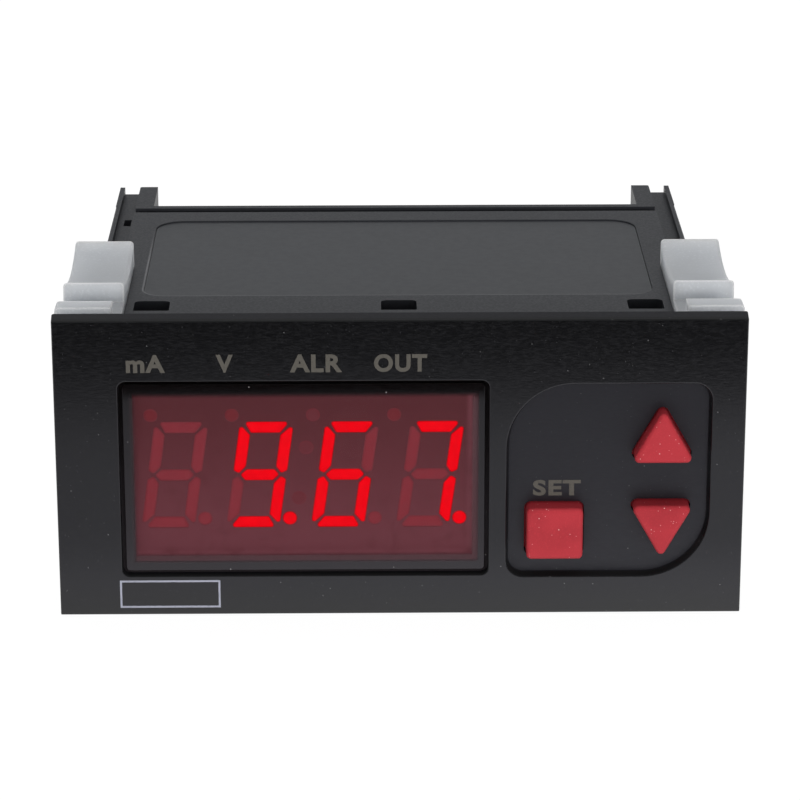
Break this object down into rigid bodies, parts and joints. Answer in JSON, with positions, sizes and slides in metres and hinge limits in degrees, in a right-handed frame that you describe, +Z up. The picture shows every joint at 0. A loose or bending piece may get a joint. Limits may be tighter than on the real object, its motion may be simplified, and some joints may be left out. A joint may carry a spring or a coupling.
{
  "type": "digital panel indicator",
  "caption": "Panel-mount digital indicator: black bezel with red numeric display and red keys, moulded housing with rear screw terminals, and sliding grey clips that hold it in a panel.",
  "frame": {"origin": "centre of the bezel's back face, the plane that seats on the panel", "axes": "+X right seen from the front, +Y back through the panel, +Z up"},
  "size_m": [0.077, 0.0691, 0.035],
  "materials": {
    "bezel_black": "fine matt moulding",
    "housing_black": "satin moulding",
    "window_tint": "clear, tinted red",
    "key_red": "satin moulding",
    "plunger_white": "moulded",
    "switch_black": "moulded",
    "display_case": "matt dark face",
    "segment_lit": "glowing red",
    "segment_dark": "unlit tinted resin",
    "board_green": "solder mask",
    "pin_brass": "plated",
    "label_dark": "printed film, bare",
    "clip_grey": "satin moulding",
    "block_black": "moulded",
    "core_steel": "varnished laminations",
    "coil_copper": "taped winding",
    "relay_blue": "moulded case",
    "sleeve_dark": "shrink sleeve",
    "film_yellow": "moulded case",
    "varistor_blue": "dipped",
    "screw_steel": "zinc plated",
    "clamp_steel": "zinc plated"
  },
  "bodies": {
    "case": {"front_bezel": "bezel_black", "display_window": "window_tint", "set_switch": "switch_black", "up_switch": "switch_black", "down_switch": "switch_black", "led_display": "display_case", "lit_segments": "segment_lit", "dark_segments": "segment_dark", "display_board": "board_green", "main_board": "board_green", "board_pins": "pin_brass", "board_header": "switch_black", "housing": "housing_black", "type_label": "label_dark", "terminal_block": "block_black", "terminal_contacts": "pin_brass", "transformer_core": "core_steel", "transformer_coil": "coil_copper", "alarm_relay": "relay_blue", "output_relay": "relay_blue", "input_capacitor": "sleeve_dark", "output_capacitor": "sleeve_dark", "film_capacitor": "film_yellow", "surge_varistor": "varistor_blue", "input_fuse": "switch_black", "microcontroller": "switch_black", "small_chips": "switch_black"},
    "set_key": {"set_key": "key_red", "set_plunger": "plunger_white"},
    "up_key": {"up_key": "key_red", "up_plunger": "plunger_white"},
    "down_key": {"down_key": "key_red", "down_plunger": "plunger_white"},
    "left_clip": {"left_clip": "clip_grey"},
    "right_clip": {"right_clip": "clip_grey"},
    "screw_01": {"terminal_screw_01": "screw_steel"},
    "clamp_01": {"terminal_clamp_01": "clamp_steel"},
    "screw_02": {"terminal_screw_02": "screw_steel"},
    "clamp_02": {"terminal_clamp_02": "clamp_steel"},
    "screw_03": {"terminal_screw_03": "screw_steel"},
    "clamp_03": {"terminal_clamp_03": "clamp_steel"},
    "screw_04": {"terminal_screw_04": "screw_steel"},
    "clamp_04": {"terminal_clamp_04": "clamp_steel"},
    "screw_05": {"terminal_screw_05": "screw_steel"},
    "clamp_05": {"terminal_clamp_05": "clamp_steel"},
    "screw_06": {"terminal_screw_06": "screw_steel"},
    "clamp_06": {"terminal_clamp_06": "clamp_steel"},
    "screw_07": {"terminal_screw_07": "screw_steel"},
    "clamp_07": {"terminal_clamp_07": "clamp_steel"},
    "screw_08": {"terminal_screw_08": "screw_steel"},
    "clamp_08": {"terminal_clamp_08": "clamp_steel"},
    "screw_09": {"terminal_screw_09": "screw_steel"},
    "clamp_09": {"terminal_clamp_09": "clamp_steel"},
    "screw_10": {"terminal_screw_10": "screw_steel"},
    "clamp_10": {"terminal_clamp_10": "clamp_steel"},
    "screw_11": {"terminal_screw_11": "screw_steel"},
    "clamp_11": {"terminal_clamp_11": "clamp_steel"},
    "screw_12": {"terminal_screw_12": "screw_steel"},
    "clamp_12": {"terminal_clamp_12": "clamp_steel"}
  },
  "joints": [
    {"name": "set_key_press", "type": "slide", "parent": "case", "child": "set_key", "axis": [0, 1, 0], "range_m": [0, 0.0006], "stiffness_N_per_m": 2500},
    {"name": "up_key_press", "type": "slide", "parent": "case", "child": "up_key", "axis": [0, 1, 0], "range_m": [0, 0.0006], "stiffness_N_per_m": 2500},
    {"name": "down_key_press", "type": "slide", "parent": "case", "child": "down_key", "axis": [0, 1, 0], "range_m": [0, 0.0006], "stiffness_N_per_m": 2500},
    {"name": "left_clip_slide", "type": "slide", "parent": "case", "child": "left_clip", "axis": [0, 1, 0], "range_m": [-0.0025, 0.0355]},
    {"name": "right_clip_slide", "type": "slide", "parent": "case", "child": "right_clip", "axis": [0, 1, 0], "range_m": [-0.0025, 0.0355]},
    {"name": "screw_01_turn", "type": "hinge", "parent": "case", "child": "screw_01", "pos_m": [-0.0275, 0.0602, 0], "axis": [0, 0, -1], "range_deg": [0, 1080]},
    {"name": "clamp_01_lift", "type": "slide", "parent": "case", "child": "clamp_01", "axis": [0, 0, 1], "range_m": [0, 0.0015]},
    {"name": "screw_02_turn", "type": "hinge", "parent": "case", "child": "screw_02", "pos_m": [-0.0225, 0.0602, 0], "axis": [0, 0, -1], "range_deg": [0, 1080]},
    {"name": "clamp_02_lift", "type": "slide", "parent": "case", "child": "clamp_02", "axis": [0, 0, 1], "range_m": [0, 0.0015]},
    {"name": "screw_03_turn", "type": "hinge", "parent": "case", "child": "screw_03", "pos_m": [-0.0175, 0.0602, 0], "axis": [0, 0, -1], "range_deg": [0, 1080]},
    {"name": "clamp_03_lift", "type": "slide", "parent": "case", "child": "clamp_03", "axis": [0, 0, 1], "range_m": [0, 0.0015]},
    {"name": "screw_04_turn", "type": "hinge", "parent": "case", "child": "screw_04", "pos_m": [-0.0125, 0.0602, 0], "axis": [0, 0, -1], "range_deg": [0, 1080]},
    {"name": "clamp_04_lift", "type": "slide", "parent": "case", "child": "clamp_04", "axis": [0, 0, 1], "range_m": [0, 0.0015]},
    {"name": "screw_05_turn", "type": "hinge", "parent": "case", "child": "screw_05", "pos_m": [-0.0075, 0.0602, 0], "axis": [0, 0, -1], "range_deg": [0, 1080]},
    {"name": "clamp_05_lift", "type": "slide", "parent": "case", "child": "clamp_05", "axis": [0, 0, 1], "range_m": [0, 0.0015]},
    {"name": "screw_06_turn", "type": "hinge", "parent": "case", "child": "screw_06", "pos_m": [-0.0025, 0.0602, 0], "axis": [0, 0, -1], "range_deg": [0, 1080]},
    {"name": "clamp_06_lift", "type": "slide", "parent": "case", "child": "clamp_06", "axis": [0, 0, 1], "range_m": [0, 0.0015]},
    {"name": "screw_07_turn", "type": "hinge", "parent": "case", "child": "screw_07", "pos_m": [0.0025, 0.0602, 0], "axis": [0, 0, -1], "range_deg": [0, 1080]},
    {"name": "clamp_07_lift", "type": "slide", "parent": "case", "child": "clamp_07", "axis": [0, 0, 1], "range_m": [0, 0.0015]},
    {"name": "screw_08_turn", "type": "hinge", "parent": "case", "child": "screw_08", "pos_m": [0.0075, 0.0602, 0], "axis": [0, 0, -1], "range_deg": [0, 1080]},
    {"name": "clamp_08_lift", "type": "slide", "parent": "case", "child": "clamp_08", "axis": [0, 0, 1], "range_m": [0, 0.0015]},
    {"name": "screw_09_turn", "type": "hinge", "parent": "case", "child": "screw_09", "pos_m": [0.0125, 0.0602, 0], "axis": [0, 0, -1], "range_deg": [0, 1080]},
    {"name": "clamp_09_lift", "type": "slide", "parent": "case", "child": "clamp_09", "axis": [0, 0, 1], "range_m": [0, 0.0015]},
    {"name": "screw_10_turn", "type": "hinge", "parent": "case", "child": "screw_10", "pos_m": [0.0175, 0.0602, 0], "axis": [0, 0, -1], "range_deg": [0, 1080]},
    {"name": "clamp_10_lift", "type": "slide", "parent": "case", "child": "clamp_10", "axis": [0, 0, 1], "range_m": [0, 0.0015]},
    {"name": "screw_11_turn", "type": "hinge", "parent": "case", "child": "screw_11", "pos_m": [0.0225, 0.0602, 0], "axis": [0, 0, -1], "range_deg": [0, 1080]},
    {"name": "clamp_11_lift", "type": "slide", "parent": "case", "child": "clamp_11", "axis": [0, 0, 1], "range_m": [0, 0.0015]},
    {"name": "screw_12_turn", "type": "hinge", "parent": "case", "child": "screw_12", "pos_m": [0.0275, 0.0602, 0], "axis": [0, 0, -1], "range_deg": [0, 1080]},
    {"name": "clamp_12_lift", "type": "slide", "parent": "case", "child": "clamp_12", "axis": [0, 0, 1], "range_m": [0, 0.0015]}
  ],
  "couplings": [
    {"joint": "screw_01_turn", "follows": "clamp_01_lift", "rad_per_m": 12566},
    {"joint": "screw_02_turn", "follows": "clamp_02_lift", "rad_per_m": 12566},
    {"joint": "screw_03_turn", "follows": "clamp_03_lift", "rad_per_m": 12566},
    {"joint": "screw_04_turn", "follows": "clamp_04_lift", "rad_per_m": 12566},
    {"joint": "screw_05_turn", "follows": "clamp_05_lift", "rad_per_m": 12566},
    {"joint": "screw_06_turn", "follows": "clamp_06_lift", "rad_per_m": 12566},
    {"joint": "screw_07_turn", "follows": "clamp_07_lift", "rad_per_m": 12566},
    {"joint": "screw_08_turn", "follows": "clamp_08_lift", "rad_per_m": 12566},
    {"joint": "screw_09_turn", "follows": "clamp_09_lift", "rad_per_m": 12566},
    {"joint": "screw_10_turn", "follows": "clamp_10_lift", "rad_per_m": 12566},
    {"joint": "screw_11_turn", "follows": "clamp_11_lift", "rad_per_m": 12566},
    {"joint": "screw_12_turn", "follows": "clamp_12_lift", "rad_per_m": 12566}
  ]
}
